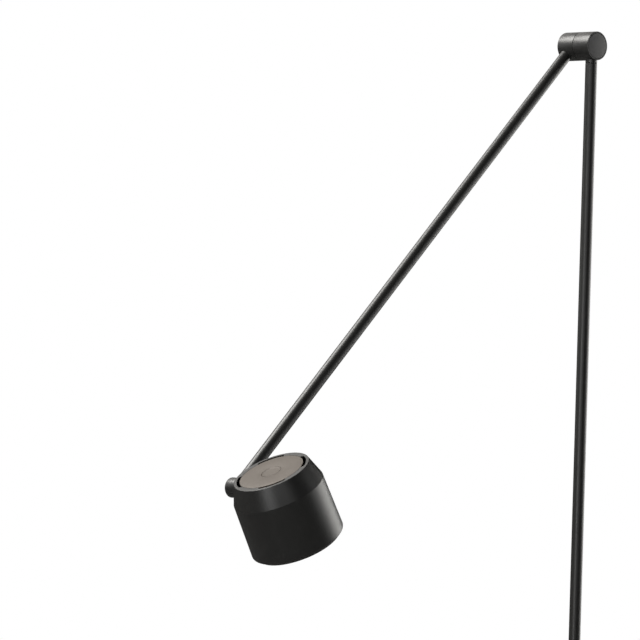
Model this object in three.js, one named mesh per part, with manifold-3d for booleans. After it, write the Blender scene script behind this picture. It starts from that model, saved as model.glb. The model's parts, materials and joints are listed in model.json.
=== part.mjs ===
// Adjustable arm floor lamp: a round base, a slim post, a swivelling elbow, an arm and a tilting LED head.
// Millimetres, +Z up. The origin is the centre of the base's underside, on the post's axis.
// At rest the arm points towards -X and down, and the barrels of the elbow and the pivot lie along +Y.
import * as THREE from "three";
import { mergeVertices } from "three/addons/utils/BufferGeometryUtils.js";
import Module from "manifold-3d";

const wasm = await Module();
wasm.setup();

// ---- Driving dimensions ----

const tubeR = 6; // the post and the arm are the same tube
const tubeBore = 5;
const leadR = 1.9; // the lead inside the tubes

const baseR = 122;
const baseThick = 13;
const padR = 118;
const padThick = 1.7;
const baseUnder = 2; // height of the plate's underside

const elbowZ = 1150; // height of the elbow's axis
const barrelR = 14.6;
const barrelNear = -8; // the barrel's ends and its seam, as Y on the row
const barrelFar = 34.8;
const seamY = 13.6;
const seamGap = 0.4;
const neckLength = 2.5; // bare neck between the barrel and the swivel

const armLength = 634; // between the elbow's axis and the pivot's
const armY = 27.2; // plane that the arm swings in
const armDrop = 45.7; // degrees below level at rest

const pivotR = 9.8;
const pivotNear = -7.6; // the pivot barrel's ends, as Y from the arm's plane
const pivotFar = 8;

const headY = -30.6; // plane that the head's axis tilts in
const headLean = 29.4; // degrees that the head's top leans away from the post
const shadeR = 45.2; // at the ridge between the cone and the skirt
const shadeFootR = 46.3; // the skirt widens a little towards its lip
const shadeTopR = 38.3;
const coneHeight = 20.1; // from the pivot's axis up to the flat top
const skirtHeight = 56.7; // from the pivot's axis down to the lower lip
const shadeWall = 1.6;
const coverR = 32; // round cover let into the top
const slotOuterR = 35.2;
const slotSweep = 48; // degrees of each of the four vent slots
const bezelR = 41.7;
const bezelProud = 2.5; // how far the bezel stands below the lip
const apertureR = 26; // opening of the baffle
const lensR = 24.8;

const axleR = 5; // hollow M10 axles
const axleBore = 3.4;
const nutR = 8; // corner radius of the M10 nuts
const fit = 0.2; // clearance between neighbours turned on one axis
const gap = 0.3; // clearance between neighbours elsewhere

const FINE = 40; // sides of a large round
const MEDIUM = 24;
const COARSE = 16;

// ---- Geometry helpers ----

const rad = THREE.MathUtils.degToRad;

// A closed mesh as a solid for booleans.
function solidOf(geometry) {
  const bare = geometry.clone();
  bare.deleteAttribute("normal");
  bare.deleteAttribute("uv");
  const merged = mergeVertices(bare, 1e-4);
  const index = merged.index.array;
  const triangles = [];
  for (let i = 0; i < index.length; i += 3) {
    const [a, b, c] = [index[i], index[i + 1], index[i + 2]];
    if (a !== b && b !== c && a !== c) triangles.push(a, b, c);
  }
  return new wasm.Manifold(
    new wasm.Mesh({
      numProp: 3,
      vertProperties: merged.attributes.position.array,
      triVerts: new Uint32Array(triangles),
    }),
  );
}

function geometryOf(solid) {
  const mesh = solid.getMesh();
  const geometry = new THREE.BufferGeometry();
  geometry.setAttribute("position", new THREE.BufferAttribute(mesh.vertProperties, 3));
  geometry.setIndex(new THREE.BufferAttribute(mesh.triVerts, 1));
  geometry.computeVertexNormals();
  return geometry;
}

const cut = (body, ...tools) =>
  geometryOf(tools.reduce((solid, tool) => solid.subtract(solidOf(tool)), solidOf(body)));
const join = (body, ...others) =>
  geometryOf(others.reduce((solid, other) => solid.add(solidOf(other)), solidOf(body)));
const common = (body, other) => geometryOf(solidOf(body).intersect(solidOf(other)));

// A profile of [radius, height] points turned about Z. It ends on the axis, or closes on itself.
function turned(profile, sides = MEDIUM) {
  const onAxis = profile[0][0] === 0 && profile.at(-1)[0] === 0;
  const loop = onAxis ? [...profile] : [...profile, profile[0]];
  const next = (i) => loop[(i + 1) % loop.length];
  const turns = loop.reduce((sum, [r, z], i) => sum + r * next(i)[1] - next(i)[0] * z, 0);
  if (turns < 0) loop.reverse();
  const points = loop.map(([r, z]) => new THREE.Vector2(r, z));
  return new THREE.LatheGeometry(points, sides).rotateX(Math.PI / 2);
}

// Turned about Y: the heights of the profile lie along +Y.
const turnedAlongY = (profile, sides) => turned(profile, sides).rotateX(-Math.PI / 2);

// A ring or a disc with square edges, as a profile.
const band = (inner, outer, low, high) => [
  [inner, low],
  [outer, low],
  [outer, high],
  [inner, high],
];

// A ring with small chamfers on its outer edges, as a profile.
const chamfered = (inner, outer, low, high, chamfer) => [
  [inner, low],
  [outer - chamfer, low],
  [outer, low + chamfer],
  [outer, high - chamfer],
  [outer - chamfer, high],
  [inner, high],
];

// Points of a quarter round from one angle to another, for a profile.
function roundEdge(centreR, centreZ, radius, fromDeg, toDeg, steps) {
  const points = [];
  for (let i = 0; i <= steps; i++) {
    const angle = rad(fromDeg + ((toDeg - fromDeg) * i) / steps);
    points.push([centreR + radius * Math.cos(angle), centreZ + radius * Math.sin(angle)]);
  }
  return points;
}

// A flat sector of a ring, standing from low to high. Sweeps start at startDeg about Z.
function arcPlate(inner, outer, startDeg, sweepDeg, low, high, steps = 8) {
  const shape = new THREE.Shape();
  const [start, end] = [rad(startDeg), rad(startDeg + sweepDeg)];
  shape.absarc(0, 0, outer, start, end, false);
  shape.absarc(0, 0, inner, end, start, true);
  const options = { depth: high - low, bevelEnabled: false, curveSegments: steps };
  return new THREE.ExtrudeGeometry(shape, options).translate(0, 0, low);
}

// A hexagonal nut with a round hole, its faces square to Z.
function hexNut(cornerR, holeR, low, high) {
  const body = new THREE.CylinderGeometry(cornerR, cornerR, high - low, 6)
    .rotateX(Math.PI / 2)
    .translate(0, 0, (low + high) / 2);
  return cut(body, rod(holeR, low - 1, high + 1, COARSE));
}
const hexNutAlongY = (...sizes) => hexNut(...sizes).rotateX(-Math.PI / 2);

// A plain round bar along Z.
function rod(radius, low, high, sides = COARSE) {
  return new THREE.CylinderGeometry(radius, radius, high - low, sides)
    .rotateX(Math.PI / 2)
    .translate(0, 0, (low + high) / 2);
}
const rodAlongY = (...sizes) => rod(...sizes).rotateX(-Math.PI / 2);

function block(width, depth, low, high) {
  return new THREE.BoxGeometry(width, depth, high - low).translate(0, 0, (low + high) / 2);
}

// A screw hanging head down: a round head with a hexagonal socket, and a plain shank above it.
function screw(headR, shankR, headLow, headHigh, shankHigh) {
  const head = turned(chamfered(0, headR, headLow, headHigh, 0.3), COARSE);
  const shank = rod(shankR, headHigh - 0.1, shankHigh);
  const socket = new THREE.CylinderGeometry(1.1, 1.1, 2, 6)
    .rotateX(Math.PI / 2)
    .translate(0, 0, headLow);
  return cut(join(head, shank), socket);
}

// ---- Materials ----

const material = (color, roughness, metalness) =>
  new THREE.MeshStandardMaterial({ color, roughness, metalness });
const blackSteel = material(0x242423, 0.42, 0.3);
const blackAluminium = material(0x242423, 0.4, 0.3);
const darkBronze = material(0x4a4138, 0.42, 0.15);
const bareSteel = material(0xb4b4b0, 0.35, 1);
const bareAluminium = material(0xc6c7c8, 0.45, 1);
const nylon = material(0x1c1c1c, 0.6, 0);
const blackRubber = material(0x161616, 0.85, 0);
const blackPlastic = material(0x171614, 0.6, 0);
const greenBoard = material(0x1d4a33, 0.55, 0);
const phosphor = material(0xf4d65a, 0.5, 0);
const brightMetal = material(0xe4e2dc, 0.12, 1);
const clearLens = material(0xfff1d2, 0.2, 0);

const lamp = new THREE.Group();

function add(group, name, geometry, finish) {
  const mesh = new THREE.Mesh(geometry, finish);
  mesh.name = name;
  group.add(mesh);
}

// ---- Base: pad, plate, post socket and its fasteners, lead gland ----

const plateTop = baseUnder + baseThick;
const recessR = 18; // recess in the underside for the socket's nut
const recessTop = plateTop - 4.3;
const leadZ = baseUnder + leadR + 1; // the lead runs in along a groove, under the nut
const grooveWidth = 6;
const grooveTop = leadZ + leadR + 1.3;
const leadBend = 5;
const socketHoleR = 8.3;
const tailLow = leadZ + leadR + 0.5; // the socket's threaded tail ends above the lead
const tailBore = 3.6;
const socketFloor = tailLow + 3.6;
const grubZ = plateTop + 10;

function basePlate() {
  const plate = turned(
    [
      [0, baseUnder],
      [baseR - 0.8, baseUnder],
      [baseR, baseUnder + 0.8],
      ...roundEdge(baseR - 2.5, plateTop - 2.5, 2.5, 0, 90, 3),
      [0, plateTop],
    ],
    60,
  );
  const groove = new THREE.BoxGeometry(baseR + 5, grooveWidth, 2 * (grooveTop - baseUnder))
    .translate((baseR + 5) / 2, 0, baseUnder);
  const recess = rod(recessR, 0, recessTop, MEDIUM);
  const hole = rod(socketHoleR, 0, plateTop + 1);
  return cut(plate, groove, recess, hole);
}

function postSocket() {
  const bore = tubeR + fit;
  const collar = turned([
    [tailBore, tailLow],
    [socketHoleR - gap, tailLow],
    [socketHoleR - gap, plateTop + gap],
    [13, plateTop + gap],
    [13, plateTop + 1.2],
    [12.4, plateTop + 1.8],
    [9.8, plateTop + 1.8],
    [9.8, plateTop + 15.5],
    [9.3, plateTop + 16],
    [bore, plateTop + 16],
    [bore, socketFloor],
    [tailBore, socketFloor],
  ]);
  return cut(collar, rodAlongY(2.2, 0, 12).translate(0, 0, grubZ));
}

// The grub screw bears on the post through the back of the socket.
function socketGrub() {
  const point = rodAlongY(2, tubeR + gap, 9.4);
  const socket = new THREE.CylinderGeometry(1.1, 1.1, 3, 6).translate(0, 9.4, 0);
  return cut(point, socket);
}

function leadGland() {
  const sleeve = block(10, grooveWidth - 2 * gap, baseUnder, grooveTop - gap);
  return cut(sleeve.translate(baseR - 6, 0, 0), glandBore());
}
const glandBore = () =>
  rod(leadR + gap, baseR - 20, baseR + 5).rotateY(Math.PI / 2).translate(0, 0, leadZ);

// The lead comes in along the groove and turns up into the post.
function baseLead() {
  const route = new THREE.CurvePath();
  const start = new THREE.Vector3(baseR - 1.2, 0, leadZ);
  const corner = new THREE.Vector3(leadBend, 0, leadZ);
  const up = new THREE.Vector3(0, 0, leadZ + leadBend);
  route.add(new THREE.LineCurve3(start, corner));
  route.add(new THREE.QuadraticBezierCurve3(corner, new THREE.Vector3(0, 0, leadZ), up));
  const section = new THREE.Shape().absarc(0, 0, leadR, 0, 2 * Math.PI, false);
  const options = { steps: 24, extrudePath: route, curveSegments: 4 };
  return new THREE.ExtrudeGeometry(section, options);
}

add(lamp, "base_pad", turned([[0, 0], [padR, 0], [padR, padThick], [0, padThick]], FINE), blackRubber);
add(lamp, "base_plate", basePlate(), blackSteel);
add(lamp, "post_socket", postSocket(), blackSteel);
const washerTop = recessTop - gap;
add(lamp, "socket_washer", turned(band(8.3, 15.5, washerTop - 0.5, washerTop)), bareSteel);
add(lamp, "socket_nut", hexNut(13.8, 8.3, tailLow + fit, washerTop - 0.5 - fit), bareSteel);
const grub = new THREE.Group();
grub.position.z = grubZ;
lamp.add(grub);
add(grub, "socket_grub_screw", socketGrub(), bareSteel);
add(lamp, "lead_gland", leadGland(), blackRubber);
add(lamp, "base_lead", baseLead(), blackRubber);

// ---- Post, with the bush that the elbow swivels in ----

const neckBottom = -barrelR - neckLength; // heights from here on are from the elbow's axis
const bushTop = neckBottom - fit;
const bushLip = bushTop - 0.5;
const postTop = bushLip - fit;
const bushBottom = bushTop - 25;
const spigotR = 4.2;
const spigotBore = 2.8;
const spigotTop = -12.3;
const spigotBottom = bushBottom - 3.5;
const clipTop = bushBottom - fit;
const clipThick = 0.8;

const post = new THREE.Group();
post.position.z = elbowZ;
lamp.add(post);
const postFoot = socketFloor + gap - elbowZ;
add(post, "post_tube", turned(band(tubeBore, tubeR, postFoot, postTop)), blackSteel);
add(
  post,
  "swivel_bush",
  turned([
    [spigotR + fit, bushBottom],
    [tubeBore - fit, bushBottom],
    [tubeBore - fit, bushLip],
    [tubeR - 0.1, bushLip],
    [tubeR - 0.1, bushTop],
    [spigotR + fit, bushTop],
  ]),
  nylon,
);
const leadFoot = leadZ + leadBend + gap - elbowZ;
add(post, "post_lead", rod(leadR, leadFoot, spigotTop - 1, 12), blackRubber);

// ---- Elbow, post half: the neck swivels in the post ----

const pocketR = 12;
const capSeatR = 13.4;
const capR = 13.1;
const capThick = 1;
const nearLedge = barrelNear + capThick + gap;
const farLedge = barrelFar - capThick - gap;
const webNear = 8.6; // the web that the axle passes through, in each half
const webFar = 19;
const seamNear = seamY - seamGap / 2;
const seamFar = seamY + seamGap / 2;
const discR = 13; // friction disc in the seam
const discDeep = 0.5; // how far it is let into each half

// One half of the barrel, along Y: a pocket closed by a cap at the open end, a web with the axle's
// hole, and a shallow seat for the friction disc at the seam.
function barrelHalf(openEnd, ledge, web, seam) {
  const out = Math.sign(openEnd - seam);
  const seat = seam + out * discDeep;
  return turnedAlongY(
    [
      [axleR + gap, web],
      [pocketR, web],
      [pocketR, ledge],
      [capSeatR, ledge],
      [capSeatR, openEnd],
      [barrelR - 0.5, openEnd],
      [barrelR, openEnd - out * 0.5],
      [barrelR, seam + out * 0.25],
      [barrelR - 0.25, seam],
      [discR + fit, seam],
      [discR + fit, seat],
      [axleR + gap, seat],
    ],
    32,
  );
}

function elbowPostHalf() {
  const shell = barrelHalf(barrelNear, nearLedge, webNear, seamNear);
  const neck = rod(tubeR, neckBottom, -pocketR - 0.6, MEDIUM);
  return cut(join(shell, neck), rod(spigotR + fit, neckBottom - 1, -pocketR + 3));
}

const swivel = new THREE.Group();
swivel.position.z = elbowZ;
lamp.add(swivel);
add(swivel, "elbow_post_half", elbowPostHalf(), blackAluminium);
add(
  swivel,
  "elbow_post_cap",
  turnedAlongY(chamfered(0, capR, barrelNear, barrelNear + capThick, 0.2), 32),
  blackAluminium,
);
const grooveR = spigotR - 0.6;
add(
  swivel,
  "swivel_spigot",
  turned([
    [spigotBore, spigotTop],
    [spigotR, spigotTop],
    [spigotR, clipTop + 0.1],
    [grooveR, clipTop + 0.1],
    [grooveR, clipTop - clipThick - 0.1],
    [spigotR, clipTop - clipThick - 0.1],
    [spigotR, spigotBottom],
    [spigotBore, spigotBottom],
  ]),
  bareSteel,
);
add(
  swivel,
  "swivel_circlip",
  arcPlate(grooveR + 0.1, tubeBore - fit, 25, 310, clipTop - clipThick, clipTop, 10),
  bareSteel,
);
add(swivel, "elbow_axle", turnedAlongY(band(axleBore, axleR, -1, 27)), bareSteel);
add(swivel, "elbow_axle_nut", hexNutAlongY(nutR, axleR + fit, webNear - 3.6, webNear - gap), bareSteel);
add(
  swivel,
  "elbow_friction_disc",
  turnedAlongY(band(axleR + gap, discR, seamNear - discDeep + fit, seamFar + discDeep - fit)),
  nylon,
);
add(
  swivel,
  "elbow_spring_washer",
  turnedAlongY([
    [axleR + gap, webFar + 0.8],
    [9.5, webFar + gap],
    [9.5, webFar + 1.1],
    [axleR + gap, webFar + 1.6],
  ]),
  bareSteel,
);
add(swivel, "elbow_lock_nut", hexNutAlongY(nutR, axleR + fit, webFar + 1.9, webFar + 5.9), bareSteel);

// ---- Arm: elbow's far half, tube, pivot barrel ----

const tubeTop = -9.3; // the tube is let this near to the elbow's axis
const armSwing = 90 - armDrop;

function elbowArmHalf() {
  const shell = barrelHalf(barrelFar, farLedge, webFar, seamFar).translate(0, -armY, 0);
  const socket = rod(tubeR + fit, -barrelR - 5, -6, MEDIUM).rotateY(rad(armSwing));
  return cut(shell, socket);
}

// The tube's lower end is shaped to the pivot barrel that it is brazed to.
function armTube() {
  const tube = turned(band(tubeBore, tubeR, -armLength + 5, tubeTop));
  return cut(tube, rodAlongY(pivotR + fit, -20, 20, FINE).translate(0, 0, -armLength));
}

function pivotBarrel() {
  const [bore, pocket, seat] = [axleR + gap, 8.4, 9];
  const [web, ledge] = [pivotNear + 4, pivotFar - capThick - gap];
  const shell = turnedAlongY([
    [bore, pivotNear],
    [pivotR - 0.4, pivotNear],
    [pivotR, pivotNear + 0.4],
    [pivotR, pivotFar - 0.4],
    [pivotR - 0.3, pivotFar],
    [seat, pivotFar],
    [seat, ledge],
    [pocket, ledge],
    [pocket, web],
    [bore, web],
  ]);
  return cut(shell, rod(2.9, 6, 12));
}

const elbowFar = new THREE.Group();
elbowFar.position.set(0, armY, elbowZ);
lamp.add(elbowFar);
add(elbowFar, "elbow_arm_half", elbowArmHalf(), blackAluminium);
add(
  elbowFar,
  "elbow_arm_cap",
  turnedAlongY(chamfered(0, capR, barrelFar - capThick, barrelFar, 0.2), 32)
    .translate(0, -armY, 0),
  blackAluminium,
);

const arm = new THREE.Group();
arm.rotation.y = rad(armSwing);
elbowFar.add(arm);
add(arm, "arm_tube", armTube(), blackSteel);
add(arm, "arm_lead", rod(leadR, -armLength + 9, tubeTop + 0.5, 12), blackRubber);

const pivot = new THREE.Group();
pivot.position.z = -armLength;
arm.add(pivot);
add(pivot, "pivot_barrel", pivotBarrel(), blackAluminium);
add(
  pivot,
  "pivot_cap",
  turnedAlongY(chamfered(0, 8.8, pivotFar - capThick, pivotFar, 0.2)),
  blackAluminium,
);

// ---- Head: shade, cover and vents ----

// The head's own frame: its axis is Z, and the pivot's axis crosses it at the origin, along Y.
const head = new THREE.Group();
head.position.set(
  -armLength * Math.cos(rad(armDrop)),
  headY,
  elbowZ - armLength * Math.sin(rad(armDrop)),
);
head.rotation.y = -rad(headLean);
lamp.add(head);

const lipTop = -skirtHeight + 4;
const lipR = bezelR + 0.4;
const coneLean = Math.atan2(shadeR - shadeTopR, coneHeight);
const wallTop = coneHeight - shadeWall;

// Radius of the cone at a height, offset outward from its face.
const coneR = (z, offset = 0) =>
  shadeR - z * Math.tan(coneLean) + offset / Math.cos(coneLean);

// The solid that the shade's outer face encloses, grown by an offset.
function shadeEnvelope(offset) {
  return turned(
    [
      [0, -skirtHeight],
      [shadeFootR + offset, -skirtHeight],
      [shadeR + offset, 0],
      [coneR(coneHeight, offset), coneHeight],
      [0, coneHeight],
    ],
    FINE,
  );
}

const quarterTurns = [0, 1, 2, 3].map((i) => 45 + 90 * i);

function shade() {
  const shell = turned(
    [
      [coverR + gap, coneHeight],
      [shadeTopR - 0.5, coneHeight],
      [shadeTopR, coneHeight - 0.5],
      [shadeR, 0],
      ...roundEdge(shadeFootR - 3, -skirtHeight + 3, 3, 0, -90, 4),
      [lipR, -skirtHeight],
      [lipR, lipTop],
      [shadeFootR - shadeWall, lipTop + 1.5],
      [shadeR - shadeWall, 0],
      [coneR(wallTop, -shadeWall), wallTop],
      [coverR + gap, wallTop],
    ],
    FINE,
  );
  const slots = quarterTurns.map((middle) =>
    arcPlate(coverR - 1, slotOuterR, middle - slotSweep / 2, slotSweep, wallTop - 1, coneHeight + 1, 5),
  );
  return cut(shell, ...slots, rodAlongY(axleR + gap, 38, 48));
}

// A disc flush with the shade's top. Four lugs reach under the bridges between the slots.
function topCover() {
  const lugTop = wallTop - gap;
  const disc = turned(band(0, coverR, lugTop - 1.5, coneHeight), FINE);
  const lugs = quarterTurns.map((middle) =>
    arcPlate(coverR - 4, slotOuterR + 0.6, middle + 30, 30, lugTop - 1.5, lugTop, 3),
  );
  return cut(join(disc, ...lugs), rod(buttonR + gap, 10, 30, MEDIUM));
}

const buttonR = 9.7;
const flangeTop = wallTop - gap - 1.5 - gap; // the button's flange waits under the cover
const flangeLow = flangeTop - 1.2;
const stemLow = flangeLow - 4;

add(head, "shade", shade(), blackAluminium);
add(head, "top_cover", topCover(), darkBronze);

// The dimmer's push button: a barely dished top, a flange that keeps it in, a stem to the switch.
add(
  head,
  "dimmer_button",
  turned([
    [0, coneHeight - 0.2],
    [8, coneHeight - 0.2],
    [9.2, coneHeight],
    [buttonR, coneHeight],
    [buttonR, flangeTop],
    [11.2, flangeTop],
    [11.2, flangeLow],
    [2.4, flangeLow],
    [2.4, stemLow],
    [0, stemLow],
  ]),
  darkBronze,
);

// ---- Head: dimmer board on its carrier ----

const finTop = -1;
const carrierLow = finTop + gap;
const carrierTop = carrierLow + 4;
const boardTop = carrierTop + gap + 1.6;
const partsLow = boardTop + gap; // parts stand on the board from here
const switchTop = stemLow - 1.4; // leaves the button's 1 mm of travel

function buttonSpring() {
  const [coilR, wireR, turns] = [8, 0.5, 4];
  const [low, high] = [partsLow + wireR, flangeLow - gap - wireR];
  class Helix extends THREE.Curve {
    getPoint(t) {
      const angle = 2 * Math.PI * turns * t;
      return new THREE.Vector3(
        coilR * Math.cos(angle),
        coilR * Math.sin(angle),
        low + (high - low) * t,
      );
    }
  }
  const section = new THREE.Shape().absarc(0, 0, wireR, 0, 2 * Math.PI, false);
  const options = { steps: turns * 12, extrudePath: new Helix(), curveSegments: 3 };
  return new THREE.ExtrudeGeometry(section, options);
}

add(head, "button_spring", buttonSpring(), bareSteel);
add(head, "dimmer_switch", block(8, 8, partsLow, switchTop), blackPlastic);
add(head, "board_carrier", turned(band(17, 21.5, carrierLow, carrierTop)), blackPlastic);
add(head, "control_board", turned(band(0, 22, carrierTop + gap, boardTop)), greenBoard);
add(
  head,
  "lead_connector",
  block(10, 6, partsLow, partsLow + 6).translate(0, 15, 0),
  blackPlastic,
);

// ---- Head: pivot axle, seats, washers and nuts, along Y ----

const armPlane = armY - headY; // the arm's plane, from the head's axis
const barrelFace = armPlane + pivotNear;
const washerLow = barrelFace - fit - 1;
const pivotWeb = barrelFace + 4;
const saddleIn = 36.5;

// Outer seat: a short boss shaped to the shade's side, as wide as the pivot barrel.
function pivotBoss() {
  const bossHigh = washerLow - fit;
  const body = turnedAlongY(chamfered(axleR + gap, pivotR, 38, bossHigh, 0.3));
  return cut(body, shadeEnvelope(gap));
}

// Inner seat: shaped to the inside of the shade's wall.
function pivotSaddle() {
  const body = turnedAlongY(band(axleR + gap, 9, saddleIn, shadeR));
  return common(body, shadeEnvelope(-shadeWall - gap));
}

add(head, "pivot_boss", pivotBoss(), blackAluminium);
add(head, "pivot_saddle", pivotSaddle(), bareAluminium);
add(head, "pivot_axle", turnedAlongY(band(axleBore, axleR, saddleIn - 4.5, armPlane + 2.4)), bareSteel);
add(head, "pivot_inner_nut", hexNutAlongY(nutR, axleR + fit, saddleIn - 3.6, saddleIn - gap), bareSteel);
add(
  head,
  "pivot_friction_washer",
  turnedAlongY(band(axleR + gap, pivotR - 0.2, washerLow, washerLow + 1)),
  nylon,
);
add(
  head,
  "pivot_spring_washer",
  turnedAlongY([
    [axleR + gap, pivotWeb + 0.6],
    [7.9, pivotWeb + gap],
    [7.9, pivotWeb + 0.9],
    [axleR + gap, pivotWeb + 1.2],
  ]),
  bareSteel,
);
add(
  head,
  "pivot_lock_nut",
  hexNutAlongY(nutR, axleR + fit, pivotWeb + 1.5, pivotWeb + 4.7),
  bareSteel,
);

// ---- Head: light engine ----

const chassisTop = -12;
const chassisLow = chassisTop - 4;
const sinkTop = chassisLow - gap;
const sinkLow = sinkTop - 2.7;
const screwR = 37.5; // pitch radius of the chassis screws
const finCount = 12;

const aroundScrews = (tool) =>
  [30, 150, 270].map((angle) => tool.clone().translate(screwR, 0, 0).rotateZ(rad(angle)));

function chassisRing() {
  const ring = turned(band(33, shadeR - shadeWall - gap, chassisLow, chassisTop), FINE);
  return cut(ring, ...aroundScrews(rod(1.7, chassisLow - 1, chassisTop + 1, 12)));
}

// A flange that screws up against the chassis ring, a core, and radial fins.
function heatSink() {
  const core = turned([
    [0, sinkLow],
    [41, sinkLow],
    [41, sinkTop],
    [9, sinkTop],
    [9, finTop],
    [0, finTop],
  ]);
  const fins = [];
  for (let i = 0; i < finCount; i++) {
    const fin = new THREE.BoxGeometry(21, 1.6, finTop - sinkTop + 1)
      .translate(18.5, 0, (finTop + sinkTop - 1) / 2)
      .rotateZ((2 * Math.PI * (i + 0.5)) / finCount);
    fins.push(fin);
  }
  const holes = aroundScrews(rod(1.8, sinkLow - 1, sinkTop + 1, 12));
  return cut(join(core, ...fins), ...holes);
}

add(head, "chassis_ring", chassisRing(), bareAluminium);
add(head, "heat_sink", heatSink(), bareAluminium);
const chassisScrew = screw(2.8, 1.5, sinkLow - 1.8, sinkLow - fit, chassisTop - 0.4);
aroundScrews(chassisScrew).forEach((geometry, i) =>
  add(head, `chassis_screw_${i + 1}`, geometry, bareSteel),
);

const ledLow = sinkLow - fit - 1.6;
const emitterLow = ledLow - fit - 0.8;
add(head, "led_board", turned(band(0, 16, ledLow, sinkLow - fit)), greenBoard);
add(
  head,
  "led_emitter",
  turned([[0, ledLow - fit], [8, ledLow - fit], [8, emitterLow + 0.3], [7.6, emitterLow], [0, emitterLow]]),
  phosphor,
);

const bezelLow = -skirtHeight - bezelProud;
const ringLow = bezelLow + 8.2; // the lens ring sits in the middle of the dished mouth
const reflectorLow = ringLow + 4.8;
const reflectorTop = emitterLow + 0.5;

// The reflector's bowl widens as the square root of its depth.
function reflector() {
  const [throat, mouth, wall, steps] = [9.2, 23.5, 1, 5];
  const inner = [];
  for (let i = 0; i <= steps; i++) {
    const share = i / steps;
    const radius = Math.sqrt(throat ** 2 + (mouth ** 2 - throat ** 2) * share);
    inner.push([radius, reflectorTop + (reflectorLow - reflectorTop) * share]);
  }
  const outer = inner.slice(0, -1).map(([r, z]) => [r + wall, z]);
  const rim = [
    [27, reflectorLow],
    [27, reflectorLow + 1],
    [mouth + wall, reflectorLow + 1],
  ];
  return turned([...inner, ...rim, ...outer.reverse()]);
}

add(head, "reflector", reflector(), brightMetal);
const lensTop = reflectorLow - gap;
add(
  head,
  "lens",
  turned([
    [0, lensTop],
    [lensR, lensTop],
    [lensR, lensTop - 1.6],
    [16, lensTop - 1.9],
    [8, lensTop - 2.2],
    [0, lensTop - 2.3],
  ]),
  clearLens,
);
add(
  head,
  "lens_ring",
  turned([
    [lensR + gap, lensTop],
    [27, lensTop],
    [27, ringLow],
    [24, ringLow],
    [23.4, ringLow + 0.6],
    [23.4, lensTop - 1.6 - gap],
    [lensR + gap, lensTop - 1.6 - gap],
  ]),
  brightMetal,
);

const rimTop = bezelLow + 1.6;
const bevelR = 33.2; // the rim's inner edge, bevelled in line with the baffle's cone
const bezelWall = 1.4;

// The bezel: a flat rim standing proud of the lip, and a skirt that goes up inside the shade.
function bezel() {
  return turned(
    [
      [bevelR, rimTop],
      [35.4, bezelLow],
      [bezelR - 1, bezelLow],
      [bezelR - 0.3, bezelLow + 0.3],
      [bezelR, bezelLow + 1],
      [bezelR, bezelLow + 16],
      [bezelR - bezelWall, bezelLow + 16],
      [bezelR - bezelWall, rimTop],
    ],
    FINE,
  );
}

// The baffle: a cone that carries on from the bezel's bevel, a hub that holds the lens ring, and a
// flange that lies behind the bezel's rim.
function baffle() {
  const [hubR, hubWall] = [27.3, 1.5];
  const lipLow = ringLow - gap - 1;
  const backLow = rimTop + gap;
  return turned(
    [
      [apertureR, lipLow],
      [bevelR - 0.4, backLow],
      [bezelR - bezelWall - 0.4, backLow],
      [bezelR - bezelWall - 0.4, backLow + 1],
      [bevelR + 0.4, backLow + 1],
      [hubR + hubWall, lipLow + 0.4],
      [hubR + hubWall, ringLow + 6.5],
      [hubR, ringLow + 6.5],
      [hubR, ringLow - gap],
      [apertureR, ringLow - gap],
    ],
    FINE,
  );
}

add(head, "bezel", bezel(), blackPlastic);
add(head, "baffle", baffle(), blackPlastic);
const clipAngles = [90, 210, 330];
clipAngles.forEach((middle, i) =>
  add(
    head,
    `bezel_clip_${i + 1}`,
    arcPlate(bezelR + 0.5, bezelR + 1.8, middle - 7, 14, lipTop + 2, lipTop + 9, 2),
    bareSteel,
  ),
);

export default lamp;
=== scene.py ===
"""The finished look of the adjustable arm floor lamp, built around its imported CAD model.

Metres, +Z up. The post stands on the origin, the arm points towards -X, and the elbow's and the
pivot's axes lie along +Y. Sizes and places are measured on the CAD nodes.
"""

import json
import math

import bmesh
import bpy
from mathutils import Matrix, Vector

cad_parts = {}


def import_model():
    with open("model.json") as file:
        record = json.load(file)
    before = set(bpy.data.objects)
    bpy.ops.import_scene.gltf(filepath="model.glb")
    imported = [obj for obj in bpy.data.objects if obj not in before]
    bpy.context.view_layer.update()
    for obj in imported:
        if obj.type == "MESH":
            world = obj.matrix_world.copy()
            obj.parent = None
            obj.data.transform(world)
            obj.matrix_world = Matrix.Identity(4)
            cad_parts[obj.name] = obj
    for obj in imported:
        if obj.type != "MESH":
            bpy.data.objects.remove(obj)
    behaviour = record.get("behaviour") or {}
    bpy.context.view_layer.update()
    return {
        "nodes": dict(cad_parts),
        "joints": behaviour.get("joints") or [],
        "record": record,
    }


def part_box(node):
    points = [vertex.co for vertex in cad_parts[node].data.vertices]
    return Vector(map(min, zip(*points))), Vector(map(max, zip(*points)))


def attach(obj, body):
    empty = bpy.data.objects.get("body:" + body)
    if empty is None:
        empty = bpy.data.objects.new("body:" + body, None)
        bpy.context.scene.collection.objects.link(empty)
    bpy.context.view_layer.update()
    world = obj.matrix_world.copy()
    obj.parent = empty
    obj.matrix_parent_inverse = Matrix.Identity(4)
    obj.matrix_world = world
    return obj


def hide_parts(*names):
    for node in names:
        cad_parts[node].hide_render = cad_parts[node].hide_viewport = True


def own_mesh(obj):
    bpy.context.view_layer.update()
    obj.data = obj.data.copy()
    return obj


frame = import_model()

MM = 0.001
X, Y, Z = Vector((1, 0, 0)), Vector((0, 1, 0)), Vector((0, 0, 1))
SIDES = 144  # sides of a visible round
SHARP = math.radians(32)  # edges that turn by more than this are shown sharp
ORIGIN = Vector((0, 0, 0))
FIT = 0.2 * MM  # close clearance, as round a tube in its socket
GAP = 0.3 * MM  # wider clearance, as in a seam or under a shoulder
AXLE_HOLE = 5.3 * MM  # radius of the holes that the hollow axles pass through

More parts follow.
